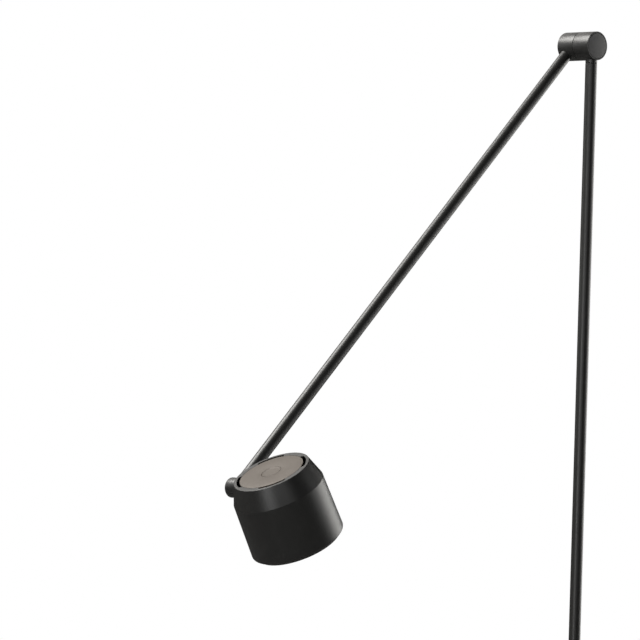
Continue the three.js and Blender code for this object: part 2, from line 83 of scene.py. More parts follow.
joints = {joint["name"]: joint for joint in frame["joints"]}
elbow_at = Vector(joints["elbow_hinge"]["pos_m"])
elbow_middle = Vector((0, 0, elbow_at.z))  # where the barrel's axis crosses the post's
pivot_at = Vector(joints["head_tilt"]["pos_m"])
head_up = -Vector(joints["dimmer_press"]["axis"]).normalized()


# ---- Measuring the CAD nodes ----


def measured(node, origin, axis):
    """The node's extent along an axis through origin, and its least and greatest radius about it."""
    heights, radii = [], []
    for vertex in frame["nodes"][node].data.vertices:
        offset = vertex.co - origin
        height = offset.dot(axis)
        heights.append(height)
        radii.append((offset - axis * height).length)
    return min(heights), max(heights), min(radii), max(radii)


def radius_at(node, origin, axis, height, within=0.3 * MM):
    """The greatest radius of the node's vertices near a height along the axis."""
    offsets = [v.co - origin for v in frame["nodes"][node].data.vertices]
    near = [o for o in offsets if abs(o.dot(axis) - height) < within]
    return max((o - axis * o.dot(axis)).length for o in near)


# ---- Mesh helpers ----


def rounded(corners, steps=5):
    """A closed outline of (radius, height, fillet) corners, with each fillet as an arc."""
    points = []
    count = len(corners)
    for i, (r, z, fillet) in enumerate(corners):
        here = Vector((r, z))
        if fillet <= 0:
            points.append((r, z))
            continue
        before = (Vector(corners[i - 1][:2]) - here).normalized()
        after = (Vector(corners[(i + 1) % count][:2]) - here).normalized()
        half = before.angle(after) / 2
        centre = here + (before + after).normalized() * (fillet / math.sin(half))
        start = here + before * (fillet / math.tan(half)) - centre
        end = here + after * (fillet / math.tan(half)) - centre
        turn = start.angle_signed(end)
        for step in range(steps + 1):
            arm = start.copy()
            arm.rotate(Matrix.Rotation(-turn * step / steps, 2))
            points.append(tuple(centre + arm))
    return points


def placed(name, data):
    """A new object in the scene, which holds a mesh, a light or a camera."""
    thing = bpy.data.objects.new(name, data)
    bpy.context.scene.collection.objects.link(thing)
    return thing


def show_sharp(mesh):
    """Smooth shading, with the edges that turn by more than SHARP left crisp."""
    bm = bmesh.new()
    bm.from_mesh(mesh)
    bmesh.ops.recalc_face_normals(bm, faces=bm.faces)
    for face in bm.faces:
        face.smooth = True
    for edge in bm.edges:
        edge.smooth = len(edge.link_faces) == 2 and edge.calc_face_angle(0) < SHARP
    bm.to_mesh(mesh)
    bm.free()


def turned(name, profile, origin, axis, sides=SIDES):
    """A closed outline of (radius, height) points turned about an axis."""
    mesh = bpy.data.meshes.new(name)
    bm = bmesh.new()
    rings = []
    for k in range(sides):
        angle = 2 * math.pi * k / sides
        cos, sin = math.cos(angle), math.sin(angle)
        rings.append([bm.verts.new((r * cos, r * sin, z)) for r, z in profile])
    for k, ring in enumerate(rings):
        after = rings[(k + 1) % sides]
        for i in range(len(profile)):
            j = (i + 1) % len(profile)
            if profile[i][0] > 1e-7 or profile[j][0] > 1e-7:
                bm.faces.new((ring[i], ring[j], after[j], after[i]))
    bmesh.ops.remove_doubles(bm, verts=bm.verts, dist=1e-7)
    bmesh.ops.dissolve_degenerate(bm, edges=bm.edges, dist=1e-8)
    bm.to_mesh(mesh)
    bm.free()
    place = Matrix.Translation(origin) @ axis.to_track_quat("Z", "Y").to_matrix().to_4x4()
    mesh.transform(place)
    show_sharp(mesh)
    return placed(name, mesh)


def carved(piece, operation, *tools):
    """Cuts tools out of a piece, or joins them to it, and removes the tools."""
    for tool in tools:
        step = piece.modifiers.new(operation, "BOOLEAN")
        step.operation = operation
        step.solver = "EXACT"
        step.object = tool
    graph = bpy.context.evaluated_depsgraph_get()
    mesh = bpy.data.meshes.new_from_object(piece.evaluated_get(graph))
    piece.modifiers.clear()
    piece.data = mesh
    mesh.name = piece.name
    for tool in tools:
        bpy.data.objects.remove(tool)
    show_sharp(mesh)
    return piece


def rod(radius, low, high, origin, axis, sides=96):
    """A plain bar that cuts a hole or joins as a stub."""
    return turned("tool", [(0, low), (radius, low), (radius, high), (0, high)], origin, axis, sides)


def box_tool(low, high):
    """A block between two corners."""
    mesh = bpy.data.meshes.new("tool")
    bm = bmesh.new()
    bmesh.ops.create_cube(bm, size=1)
    size = high - low
    middle = (low + high) / 2
    bmesh.ops.transform(bm, matrix=Matrix.Translation(middle) @ Matrix.Diagonal((*size, 1)), verts=bm.verts)
    bm.to_mesh(mesh)
    bm.free()
    return placed("tool", mesh)


def arc_tool(inner, outer, middle, sweep, low, high, origin, axis, start_from, steps=24):
    """A sector of a ring with round ends, about an axis. Angles are in degrees from start_from."""
    mesh = bpy.data.meshes.new("tool")
    side = axis.cross(start_from)
    mid_r, half_w = (inner + outer) / 2, (outer - inner) / 2
    end_turn = math.degrees(half_w / mid_r)
    half = sweep / 2 - end_turn
    outline = []
    for i in range(steps + 1):
        outline.append((outer, middle - half + 2 * half * i / steps))
    outline += round_end(mid_r, half_w, middle + half, 1)
    for i in range(steps + 1):
        outline.append((inner, middle + half - 2 * half * i / steps))
    outline += round_end(mid_r, half_w, middle - half, -1)
    bm = bmesh.new()
    layers = []
    for height in (low, high):
        ring = []
        for r, degrees in outline:
            angle = math.radians(degrees)
            spot = start_from * (r * math.cos(angle)) + side * (r * math.sin(angle))
            ring.append(bm.verts.new(origin + spot + axis * height))
        layers.append(ring)
    bm.faces.new(layers[0])
    bm.faces.new(layers[1])
    for i in range(len(outline)):
        j = (i + 1) % len(outline)
        bm.faces.new((layers[0][i], layers[0][j], layers[1][j], layers[1][i]))
    bmesh.ops.recalc_face_normals(bm, faces=bm.faces)
    bm.to_mesh(mesh)
    bm.free()
    return placed("tool", mesh)


def round_end(mid_r, half_w, degrees, way, steps=8):
    """The inner points of a slot's round end, as (radius, degrees) pairs."""
    points = []
    for i in range(1, steps):
        turn = math.pi * i / steps
        along = half_w * math.sin(turn)
        across = half_w * math.cos(turn) * way
        points.append((mid_r + across, degrees + way * math.degrees(along / mid_r)))
    return points


# ---- Materials ----


def shader(name, base, roughness, metallic=0.0):
    """A new material and its Principled node, with its constants on the shader's own sockets."""
    material = bpy.data.materials.new(name)
    material.use_nodes = True
    node = material.node_tree.nodes["Principled BSDF"]
    node.inputs["Base Color"].default_value = (*base, 1)
    node.inputs["Roughness"].default_value = roughness
    node.inputs["Metallic"].default_value = metallic
    return material, node


def noise(material, scale, detail=3.0):
    """A noise texture in the piece's own space. scale is in waves per metre."""
    nodes, links = material.node_tree.nodes, material.node_tree.links
    place = nodes.new("ShaderNodeTexCoord")
    texture = nodes.new("ShaderNodeTexNoise")
    texture.inputs["Scale"].default_value = scale
    texture.inputs["Detail"].default_value = detail
    links.new(place.outputs["Object"], texture.inputs["Vector"])
    return texture.outputs["Fac"]


def vary(material, node, socket, source, low, high):
    """Drives a socket from a noise, between two numbers or two colours."""
    nodes, links = material.node_tree.nodes, material.node_tree.links
    if isinstance(low, tuple):
        ramp = nodes.new("ShaderNodeValToRGB")
        ramp.color_ramp.elements[0].position = 0.35
        ramp.color_ramp.elements[1].position = 0.65
        ramp.color_ramp.elements[0].color = (*low, 1)
        ramp.color_ramp.elements[1].color = (*high, 1)
        links.new(source, ramp.inputs["Fac"])
        links.new(ramp.outputs["Color"], node.inputs[socket])
        return
    scale = nodes.new("ShaderNodeMapRange")
    scale.inputs["From Min"].default_value = 0.3
    scale.inputs["From Max"].default_value = 0.7
    scale.inputs["To Min"].default_value = low
    scale.inputs["To Max"].default_value = high
    links.new(source, scale.inputs["Value"])
    links.new(scale.outputs["Result"], node.inputs[socket])


def emboss(material, node, source, strength, depth):
    """Bump from a noise. depth is in metres."""
    nodes, links = material.node_tree.nodes, material.node_tree.links
    bump = nodes.new("ShaderNodeBump")
    bump.inputs["Strength"].default_value = strength
    bump.inputs["Distance"].default_value = depth
    links.new(source, bump.inputs["Height"])
    links.new(bump.outputs["Normal"], node.inputs["Normal"])


def powder_coat(name, dark, light, roughness):
    """Fine satin paint: a soft orange peel, and slightly uneven gloss."""
    material, node = shader(name, dark, roughness)
    vary(material, node, "Base Color", noise(material, 90), dark, light)
    vary(material, node, "Roughness", noise(material, 220), roughness - 0.015, roughness + 0.015)
    emboss(material, node, noise(material, 900, 1), 0.1, 0.00001)
    return material


def plain_metal(name, dark, light, roughness, grain=1800):
    """Bare or plated metal with a fine grain."""
    material, node = shader(name, light, roughness, 1.0)
    vary(material, node, "Base Color", noise(material, 300), dark, light)
    vary(material, node, "Roughness", noise(material, grain), roughness - 0.06, roughness + 0.06)
    emboss(material, node, noise(material, grain, 2), 0.1, 0.000006)
    return material


def moulded(name, dark, light, roughness, depth=0.00004):
    """Moulded plastic or rubber with a fine texture."""
    material, node = shader(name, dark, roughness)
    vary(material, node, "Base Color", noise(material, 150), dark, light)
    vary(material, node, "Roughness", noise(material, 500), roughness - 0.05, roughness + 0.05)
    emboss(material, node, noise(material, 1500, 4), 0.3, depth)
    return material


def lacquer_and_painted_reflection():
    """Satin dark bronze lacquer, lighter and a little warmer than the black beside it: partly a warmer
    finish, partly a painted reflection of the bright warm light above the top face.
    """
    # The lighter, warmer base colour is partly painted reflection of the light over the top face, partly
    # the cover's own warmer finish.
    material, node = shader("dark_bronze", (0.068, 0.053, 0.04), 0.42, 0.15)
    vary(material, node, "Base Color", noise(material, 60), (0.065, 0.05, 0.037), (0.072, 0.057, 0.043))
    vary(material, node, "Roughness", noise(material, 400), 0.405, 0.435)
    emboss(material, node, noise(material, 900, 1), 0.1, 0.00001)
    return material


def circuit_board():
    """Green solder mask with a faint relief."""
    material, node = shader("circuit_board", (0.02, 0.08, 0.04), 0.45)
    vary(material, node, "Base Color", noise(material, 700, 0), (0.015, 0.06, 0.03), (0.03, 0.12, 0.055))
    emboss(material, node, noise(material, 900, 0), 0.3, 0.00005)
    return material


def phosphor():
    """The yellow, glowing face of the LED."""
    material, node = shader("phosphor", (0.9, 0.62, 0.1), 0.4)
    vary(material, node, "Base Color", noise(material, 800), (0.85, 0.55, 0.08), (0.95, 0.68, 0.14))
    node.inputs["Emission Color"].default_value = (1.0, 0.8, 0.5, 1)
    node.inputs["Emission Strength"].default_value = 6
    return material


def glowing_lens():
    """Satin lens lit from behind: fine ripples, and a soft cream glow."""
    material, node = shader("lens_glass", (0.5, 0.45, 0.36), 0.25)
    vary(material, node, "Roughness", noise(material, 900), 0.2, 0.32)
    emboss(material, node, noise(material, 700, 1), 0.4, 0.0001)
    vary(material, node, "Emission Color", noise(material, 45, 1), (0.86, 0.66, 0.38), (1.0, 0.84, 0.57))
    node.inputs["Emission Strength"].default_value = 0.85
    return material


BLACK, SOFT_BLACK = (0.0135, 0.0135, 0.0130), (0.0152, 0.0152, 0.0146)
materials = {
    "black_steel": powder_coat("black_steel", BLACK, SOFT_BLACK, 0.4),
    "black_aluminium": powder_coat("black_aluminium", BLACK, SOFT_BLACK, 0.38),
    # The top cover's colour holds a painted reflection of the light above as well as its warmer finish.
    "dark_bronze": lacquer_and_painted_reflection(),
    "bare_steel": plain_metal("bare_steel", (0.5, 0.5, 0.48), (0.62, 0.62, 0.6), 0.3),
    "bare_aluminium": plain_metal("bare_aluminium", (0.5, 0.51, 0.52), (0.6, 0.61, 0.62), 0.45),
    "nylon": moulded("nylon", (0.008, 0.008, 0.008), (0.012, 0.012, 0.012), 0.5),
    "black_rubber": moulded("black_rubber", (0.01, 0.01, 0.01), (0.018, 0.018, 0.018), 0.8, 0.0001),
    "black_plastic": moulded("black_plastic", (0.011, 0.0105, 0.01), (0.017, 0.016, 0.015), 0.5),
    "circuit_board": circuit_board(),
    "phosphor": phosphor(),
    "bright_metal": plain_metal("bright_metal", (0.85, 0.82, 0.76), (0.95, 0.92, 0.86), 0.2),
    "lens_glass": glowing_lens(),
}

slot_of = {part["node"]: part["material_slot"] for part in frame["record"]["subparts"]}
body_of = {n: body for body, names in frame["record"]["behaviour"]["bodies"].items() for n in names}

for node_name, node_object in frame["nodes"].items():
    node_object.data.materials.clear()
    node_object.data.materials.append(materials[slot_of[node_name]])


def stands_for(piece, node):
    """The piece takes a CAD node's place, body and finish."""
    piece.name = node + "_fine"
    piece.data.name = piece.name
    piece.data.materials.clear()
    piece.data.materials.append(materials[slot_of[node]])
    for face in piece.data.polygons:
        face.material_index = 0
    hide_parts(node)
    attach(piece, body_of[node])


def disc(node, origin, axis, fillet, sides=SIDES):
    """A solid disc with rounded edges in the place of a CAD node."""
    low, high, _, radius = measured(node, origin, axis)
    corners = [(0, low, 0), (radius, low, fillet), (radius, high, fillet), (0, high, 0)]
    stands_for(turned(node, rounded(corners), origin, axis, sides), node)


def ring(node, origin, axis, fillet, sides=SIDES):
    """A plain ring or tube with rounded edges in the place of a CAD node."""
    low, high, bore, radius = measured(node, origin, axis)
    corners = [(bore, low, 0), (radius, low, fillet), (radius, high, fillet), (bore, high, 0)]
    stands_for(turned(node, rounded(corners), origin, axis, sides), node)


# ---- Base ----


def base_plate():
    """The round plate, with a recess for the washer and the nut, and a groove for the lead."""
    low, high, bore, radius = measured("base_plate", ORIGIN, Z)
    recess = 18 * MM
    recess_top = high - 4.3 * MM
    corners = [
        (bore, recess_top, 0),
        (recess, recess_top, 0),
        (recess, low, 0),
        (radius, low, 0.8 * MM),
        (radius, high, 2.5 * MM),
        (bore, high, 0.3 * MM),
    ]
    plate = turned("base_plate", rounded(corners, 8), ORIGIN, Z, 256)
    gland_low, gland_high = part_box("lead_gland")
    width = gland_high.y - gland_low.y + 2 * GAP
    groove_low = Vector((0, -width / 2, -MM))
    groove_high = Vector((radius + MM, width / 2, gland_high.z + GAP))
    groove = box_tool(groove_low, groove_high)
    stands_for(carved(plate, "DIFFERENCE", groove), "base_plate")


def post_socket():
    """The collar that holds the post, with a flange on the plate and a tail through it."""
    low, high, bore, flange = measured("post_socket", ORIGIN, Z)
    plate_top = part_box("base_plate")[1].z
    tube_low, _, _, tube = measured("post_tube", ORIGIN, Z)
    collar = radius_at("post_socket", ORIGIN, Z, high - 0.5 * MM)
    tail = radius_at("post_socket", ORIGIN, Z, low)
    flange_top = plate_top + 1.8 * MM
    corners = [
        (bore, low, 0),
        (tail, low, 0.5 * MM),
        (tail, plate_top + GAP, 0),
        (flange, plate_top + GAP, 0),
        (flange, flange_top, 0.6 * MM),
        (collar, flange_top, 1.2 * MM),
        (collar, high, 0.6 * MM),
        (tube + FIT, high, 0.2 * MM),
        (tube + FIT, tube_low - GAP, 0),
        (bore, tube_low - GAP, 0),
    ]
    socket = turned("post_socket", rounded(corners), ORIGIN, Z)
    grub_low, grub_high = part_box("socket_grub_screw")
    grub_at = Vector((0, 0, (grub_low.z + grub_high.z) / 2))
    hole = rod((grub_high.z - grub_low.z) / 2 + FIT, 0, 20 * MM, grub_at, Y)
    stands_for(carved(socket, "DIFFERENCE", hole), "post_socket")


def socket_grub_screw():
    """A set screw with a hexagon socket, which bears on the post through the socket's back."""
    low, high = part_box("socket_grub_screw")
    at = Vector((0, 0, (low.z + high.z) / 2))
    radius = (high.z - low.z) / 2
    corners = [
        (0, low.y, 0),
        (radius, low.y, 0.4 * MM),
        (radius, high.y, 0.25 * MM),
        (0, high.y, 0),
    ]
    screw = turned("socket_grub_screw", rounded(corners), at, Y, 64)
    key_r, key_depth = 1.15 * MM, 1.5 * MM
    hexagon = rod(key_r, high.y - key_depth, high.y + MM, at, Y, 6)
    stands_for(carved(screw, "DIFFERENCE", hexagon), "socket_grub_screw")


def lead_gland():
    """A moulded rubber block that fills the groove's mouth, bored for the lead."""
    low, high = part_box("lead_gland")
    gland = box_tool(low, high)
    gland.name = "lead_gland"
    soften = gland.modifiers.new("soften", "BEVEL")
    soften.width = 0.6 * MM
    soften.segments = 4
    lead_low, lead_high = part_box("base_lead")
    across = (lead_high.y - lead_low.y) / 2
    at = Vector((0, 0, lead_low.z + across))
    bore = rod(across + GAP, low.x - MM, high.x + MM, at, X)
    stands_for(carved(gland, "DIFFERENCE", bore), "lead_gland")


def swivel_bush():
    """The nylon bush pressed in the post's top, whose thin lip shows under the neck."""
    low, high, bore, lip = measured("swivel_bush", ORIGIN, Z)
    sleeve = radius_at("swivel_bush", ORIGIN, Z, low)
    lip_low = high - 0.5 * MM
    corners = [
        (bore, low, 0.2 * MM),
        (sleeve, low, 0.4 * MM),
        (sleeve, lip_low, 0),
        (lip, lip_low, 0.1 * MM),
        (lip, high, 0.1 * MM),
        (bore, high, 0.1 * MM),
    ]
    stands_for(turned("swivel_bush", rounded(corners), ORIGIN, Z), "swivel_bush")


disc("base_pad", ORIGIN, Z, 0.5 * MM, 256)
base_plate()
post_socket()
socket_grub_screw()
lead_gland()
ring("post_tube", ORIGIN, Z, 0.2 * MM)
swivel_bush()

# ---- Elbow ----

# The arm's plane is the middle of the tube, and its axis runs from the elbow down to the pivot.
arm_low, arm_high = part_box("arm_tube")
arm_y = (arm_low.y + arm_high.y) / 2
arm_top = Vector((elbow_at.x, arm_y, elbow_at.z))
arm_foot = Vector((pivot_at.x, arm_y, pivot_at.z))
arm_axis = (arm_foot - arm_top).normalized()


def barrel_half(node, cap, inward):
    """Half of the elbow's barrel. inward points along the barrel from the open end to the seam."""
    low, high, _, _ = measured(node, elbow_middle, inward)
    _, cap_high, _, cap_r = measured(cap, elbow_middle, inward)
    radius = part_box(node)[1].z - elbow_at.z
    ledge = cap_high + GAP
    pocket = 12 * MM
    web = high - 4.8 * MM
    disc_r = measured("elbow_friction_disc", elbow_middle, inward)[3] + FIT
    disc_seat = high - 0.5 * MM
    corners = [
        (AXLE_HOLE, web, 0),
        (pocket, web, 0),
        (pocket, ledge, 0),
        (cap_r + GAP, ledge, 0),
        (cap_r + GAP, low, 0.15 * MM),
        (radius, low, 0.4 * MM),
        (radius, high, 0.3 * MM),
        (disc_r, high, 0),
        (disc_r, disc_seat, 0),
        (AXLE_HOLE, disc_seat, 0),
    ]
    return turned(node, rounded(corners), elbow_middle, inward, 192)


def elbow_post_half():
    """The half above the post, joined to its short neck and bored for the swivel's spigot."""
    half = barrel_half("elbow_post_half", "elbow_post_cap", Y)
    tube = measured("post_tube", ORIGIN, Z)[3]
    neck_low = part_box("elbow_post_half")[0].z - elbow_at.z
    neck_high = -12.6 * MM  # inside the barrel's wall
    neck_corners = [
        (0, neck_high, 0),
        (tube, neck_high, 0),
        (tube, neck_low, 0.2 * MM),
        (0, neck_low, 0),
    ]
    neck = turned("tool", rounded(neck_corners), elbow_middle, Z)
    bore_r, bore_high = 4.4 * MM, -9 * MM
    bore = rod(bore_r, neck_low - MM, bore_high, elbow_middle, Z)
    stands_for(carved(carved(half, "UNION", neck), "DIFFERENCE", bore), "elbow_post_half")


def elbow_arm_half():
    """The half on the arm, with a socket for the tube's end."""
    half = barrel_half("elbow_arm_half", "elbow_arm_cap", -Y)
    tube = measured("arm_tube", arm_top, arm_axis)[3]
    socket_from, socket_to = 6 * MM, 20 * MM
    socket = rod(tube + FIT, socket_from, socket_to, arm_top, arm_axis)
    stands_for(carved(half, "DIFFERENCE", socket), "elbow_arm_half")


elbow_post_half()
elbow_arm_half()
disc("elbow_post_cap", elbow_middle, Y, 0.3 * MM)
disc("elbow_arm_cap", elbow_middle, Y, 0.3 * MM)

# ---- Arm ----


def arm_tube():
    """The tube, coped at its foot to the small barrel that it is brazed to."""
    low, _, bore, radius = measured("arm_tube", arm_top, arm_axis)
    length = (arm_foot - arm_top).length
    corners = [(bore, low, 0), (radius, low, 0), (radius, length, 0), (bore, length, 0)]
    tube = turned("arm_tube", rounded(corners), arm_top, arm_axis)
    barrel = measured("pivot_barrel", arm_foot, Y)[3]
    braze, reach = 0.1 * MM, 20 * MM
    cope = rod(barrel + braze, -reach, reach, arm_foot, Y, 144)
    stands_for(carved(tube, "DIFFERENCE", cope), "arm_tube")


def pivot_barrel():
    """The small barrel at the arm's foot, open at the cap's end, with a hole for the lead."""
    low, high, bore, radius = measured("pivot_barrel", arm_foot, Y)
    cap_low, _, _, cap_r = measured("pivot_cap", arm_foot, Y)
    ledge = cap_low - GAP
    web = low + 4 * MM
    pocket = 8.4 * MM
    corners = [
        (bore, low, 0),
        (radius, low, 0.3 * MM),
        (radius, high, 0.35 * MM),
        (cap_r + FIT, high, 0.1 * MM),
        (cap_r + FIT, ledge, 0),
        (pocket, ledge, 0),
        (pocket, web, 0),
        (bore, web, 0),
    ]
    barrel = turned("pivot_barrel", rounded(corners), arm_foot, Y)
    hole_r, hole_from, hole_to = 2.9 * MM, 6 * MM, 12 * MM
    lead_hole = rod(hole_r, hole_from, hole_to, arm_foot, -arm_axis)
    stands_for(carved(barrel, "DIFFERENCE", lead_hole), "pivot_barrel")


arm_tube()
pivot_barrel()
disc("pivot_cap", arm_foot, Y, 0.15 * MM)

# ---- Head ----

# The head's axis crosses the pivot's axis in the plane of the button.
button_low, button_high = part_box("dimmer_button")
head_at = Vector((pivot_at.x, (button_low.y + button_high.y) / 2, pivot_at.z))
head_side = Y.cross(head_up)  # across the head, square to the pivot's axis


def head_ring(node):
    """The node's extent along the head's axis, and its radii about it."""
    return measured(node, head_at, head_up)


def head_arc(inner, outer, middle, sweep, low, high):
    """An arc tool about the head's axis."""
    return arc_tool(inner, outer, middle, sweep, low, high, head_at, head_up, head_side)


cover_low, top, _, _ = head_ring("top_cover")
cover_r = radius_at("top_cover", head_at, head_up, top)
lip, _, _, foot_r = head_ring("shade")
shade_r = radius_at("shade", head_at, head_up, 0)
shade_top_r = radius_at("shade", head_at, head_up, top)
wall = 1.6 * MM
slot_outer = 35.2 * MM  # outer radius of the vent slots
slot_sweep = 48  # degrees
cone_slope = (shade_r - shade_top_r) / top
bezel_low, bezel_high, bevel_r, bezel_r = head_ring("bezel")


def outer_solid(grow):
    """What the shade's outer face encloses, grown a little, as a tool."""
    widen = grow * math.hypot(1, cone_slope)
    profile = [
        (0, lip),
        (foot_r + grow, lip),
        (shade_r + grow, 0),
        (shade_top_r + widen, top),
        (0, top),
    ]
    return turned("tool", profile, head_at, head_up, 192)


def shade():
    """The thin shell: a cone, a slightly flared skirt and a thicker lip, with four vent slots."""
    lip_r = bezel_r + 0.4 * MM
    lip_top, lip_taper = lip + 4 * MM, 1.5 * MM
    flange = cover_r + GAP
    cone_in = shade_top_r - wall * math.hypot(1, cone_slope) + wall * cone_slope
    corners = [
        (flange, top, 0.12 * MM),
        (shade_top_r + 0.5 * MM * cone_slope, top, 0.45 * MM),
        (shade_r, 0, 0.8 * MM),
        (foot_r, lip, 3 * MM),
        (lip_r, lip, 0.2 * MM),
        (lip_r, lip_top, 0),
        (foot_r - wall, lip_top + lip_taper, 0),
        (shade_r - wall, 0, 0),
        (cone_in, top - wall, 0),
        (flange, top - wall, 0),
    ]
    shell = turned("shade", rounded(corners, 8), head_at, head_up, 288)
    slots = [
        head_arc(cover_r - 2 * MM, slot_outer, 45 + 90 * i, slot_sweep, top - 2 * wall, top + wall)
        for i in range(4)
    ]
    hole_from, hole_to = 36 * MM, 50 * MM
    hole = rod(AXLE_HOLE, hole_from, hole_to, head_at, Y)
    stands_for(carved(shell, "DIFFERENCE", *slots, hole), "shade")


def top_cover():
    """The round cover, on four lugs that reach under the shade's top between the slots."""
    button_r = radius_at("dimmer_button", head_at, head_up, top)
    lug_top = top - wall - GAP
    corners = [
        (button_r + GAP, cover_low, 0),
        (cover_r, cover_low, 0),
        (cover_r, top, 0.12 * MM),
        (button_r + GAP, top, 0.15 * MM),
    ]
    cover = turned("top_cover", rounded(corners), head_at, head_up, 288)
    lug_inner, lug_outer, lug_sweep = cover_r - 4 * MM, slot_outer + 0.6 * MM, 30
    lugs = [head_arc(lug_inner, lug_outer, 90 * i, lug_sweep, cover_low, lug_top) for i in range(4)]
    stands_for(carved(cover, "UNION", *lugs), "top_cover")


def dimmer_button():
    """A barely dished top with a soft rim, over the flange and the stem."""
    low, high, _, flange = head_ring("dimmer_button")
    radius = radius_at("dimmer_button", head_at, head_up, high)
    flange_top = high - 3.7 * MM
    flange_low = flange_top - 1.2 * MM
    stem = 2.4 * MM
    dish, depth, steps = radius - 0.5 * MM, 0.2 * MM, 20
    bowl = [(dish * i / steps, high - depth * (1 - (i / steps) ** 8)) for i in range(steps)]
    rim = rounded([
        (dish, high, 0),
        (radius, high, 0.2 * MM),
        (radius, flange_top, 0),
        (flange, flange_top, 0.2 * MM),
        (flange, flange_low, 0.2 * MM),
        (stem, flange_low, 0),
        (stem, low, 0.3 * MM),
        (0, low, 0),
    ])
    stands_for(turned("dimmer_button", bowl + rim, head_at, head_up), "dimmer_button")


def button_spring():
    """A coil under the button's flange. The real spring shortens by the button's travel; this one is built
    at its rest length.
    """
    low, high, inner, outer = head_ring("button_spring")
    wire, coil = (outer - inner) / 2, (outer + inner) / 2
    turns, steps, sides = 4, 48, 12
    rise = (high - low - 2 * wire) / (turns * steps)
    across = head_up.cross(head_side)
    bm = bmesh.new()
    sections = []
    for i in range(turns * steps + 1):
        angle = 2 * math.pi * i / steps
        outward = head_side * math.cos(angle) + across * math.sin(angle)
        centre = head_at + outward * coil + head_up * (low + wire + rise * i)
        section = []
        for k in range(sides):
            turn = 2 * math.pi * k / sides
            offset = outward * math.cos(turn) + head_up * math.sin(turn)
            section.append(bm.verts.new(centre + offset * wire))
        sections.append(section)
    for before, after in zip(sections, sections[1:]):
        for k in range(sides):
            j = (k + 1) % sides
            bm.faces.new((before[k], before[j], after[j], after[k]))
    bm.faces.new(sections[0])
    bm.faces.new(sections[-1])
    mesh = bpy.data.meshes.new("button_spring")
    bm.to_mesh(mesh)
    bm.free()
    show_sharp(mesh)
    spring = placed("button_spring", mesh)
    stands_for(spring, "button_spring")
    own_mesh(spring)


def pivot_boss():
    """The seat on the shade's side, cut to the shade's outer face."""
    low, high, bore, radius = measured("pivot_boss", head_at, Y)
    foot = low - 3 * MM  # inside the shade, before the cut
    corners = [(bore, foot, 0), (radius, foot, 0), (radius, high, 0.3 * MM), (bore, high, 0)]
    boss = turned("pivot_boss", rounded(corners), head_at, Y)
    stands_for(carved(boss, "DIFFERENCE", outer_solid(0.1 * MM)), "pivot_boss")


def bezel():
    """The flat rim, its bevel and the skirt behind it."""
    rim_top = bezel_low + 1.6 * MM
    skirt_in = bezel_r - 1.4 * MM
    bevel_foot = 35.4 * MM
    corners = [
        (bevel_r, rim_top, 0.1 * MM),
        (bevel_foot, bezel_low, 0.5 * MM),
        (bezel_r, bezel_low, 0.9 * MM),
        (bezel_r, bezel_high, 0),
        (skirt_in, bezel_high, 0),
        (skirt_in, rim_top, 0),
    ]
    stands_for(turned("bezel", rounded(corners, 6), head_at, head_up, 256), "bezel")


def baffle():
    """The cone that carries on from the bezel's bevel, with its hub and flange."""
    flange_low, hub_top, aperture, flange_r = head_ring("baffle")
    ring_low = head_ring("lens_ring")[0]
    lip_low = ring_low - 1.3 * MM
    hub, hub_wall = 27.3 * MM, 1.5 * MM
    flange_top = flange_low + MM
    bend = 0.4 * MM
    corners = [
        (aperture, lip_low, 0.25 * MM),
        (bevel_r - bend, flange_low, 0.1 * MM),
        (flange_r, flange_low, 0.1 * MM),
        (flange_r, flange_top, 0.1 * MM),
        (bevel_r + bend, flange_top, 0),
        (hub + hub_wall, lip_low + bend, 0),
        (hub + hub_wall, hub_top, 0),
        (hub, hub_top, 0),
        (hub, ring_low - GAP, 0),
        (aperture, ring_low - GAP, 0),
    ]
    stands_for(turned("baffle", rounded(corners, 6), head_at, head_up, 256), "baffle")


def lens_ring():
    """The ring that holds the lens from below, with a seat for its edge."""
    low, high, bore, radius = head_ring("lens_ring")
    seat = high - 1.9 * MM
    lens_seat_r = 25.1 * MM
    corners = [
        (lens_seat_r, high, 0),
        (radius, high, 0),
        (radius, low, 0.2 * MM),
        (bore + 1.4 * MM, low, 0.3 * MM),
        (bore, low + 1.0 * MM, 0.3 * MM),
        (bore, seat, 0),
        (lens_seat_r, seat, 0),
    ]
    stands_for(turned("lens_ring", rounded(corners), head_at, head_up, 192), "lens_ring")


def lens():
    """A lens with a bowed lower face."""
    low, high, _, radius = head_ring("lens")
    steps = 16
    edge = high - 1.6 * MM
    face = [(radius * i / steps, low + (edge - low) * (i / steps) ** 2) for i in range(steps + 1)]
    stands_for(turned("lens", face + [(radius, high), (0, high)], head_at, head_up, 192), "lens")


def reflector():
    """A parabolic bowl about the emitter, with a flat rim."""
    low, high, throat, rim = head_ring("reflector")
    mouth, shell, steps = 23.5 * MM, MM, 24
    rim_top = low + MM
    bowl = []
    for i in range(steps + 1):
        share = i / steps
        bowl.append((math.sqrt(throat**2 + (mouth**2 - throat**2) * share), high + (low - high) * share))
    outer = [(r + shell, z) for r, z in reversed(bowl[:-1]) if z > rim_top]
    flange = [(rim, low), (rim, rim_top), (mouth + shell, rim_top)]
    stands_for(turned("reflector", bowl + flange + outer, head_at, head_up, 192), "reflector")


shade()
top_cover()
dimmer_button()
button_spring()
pivot_boss()
ring("pivot_friction_washer", head_at, Y, 0.15 * MM)
bezel()
baffle()
lens_ring()
lens()
reflector()

# ---- Studio: floor, background, lights and camera ----


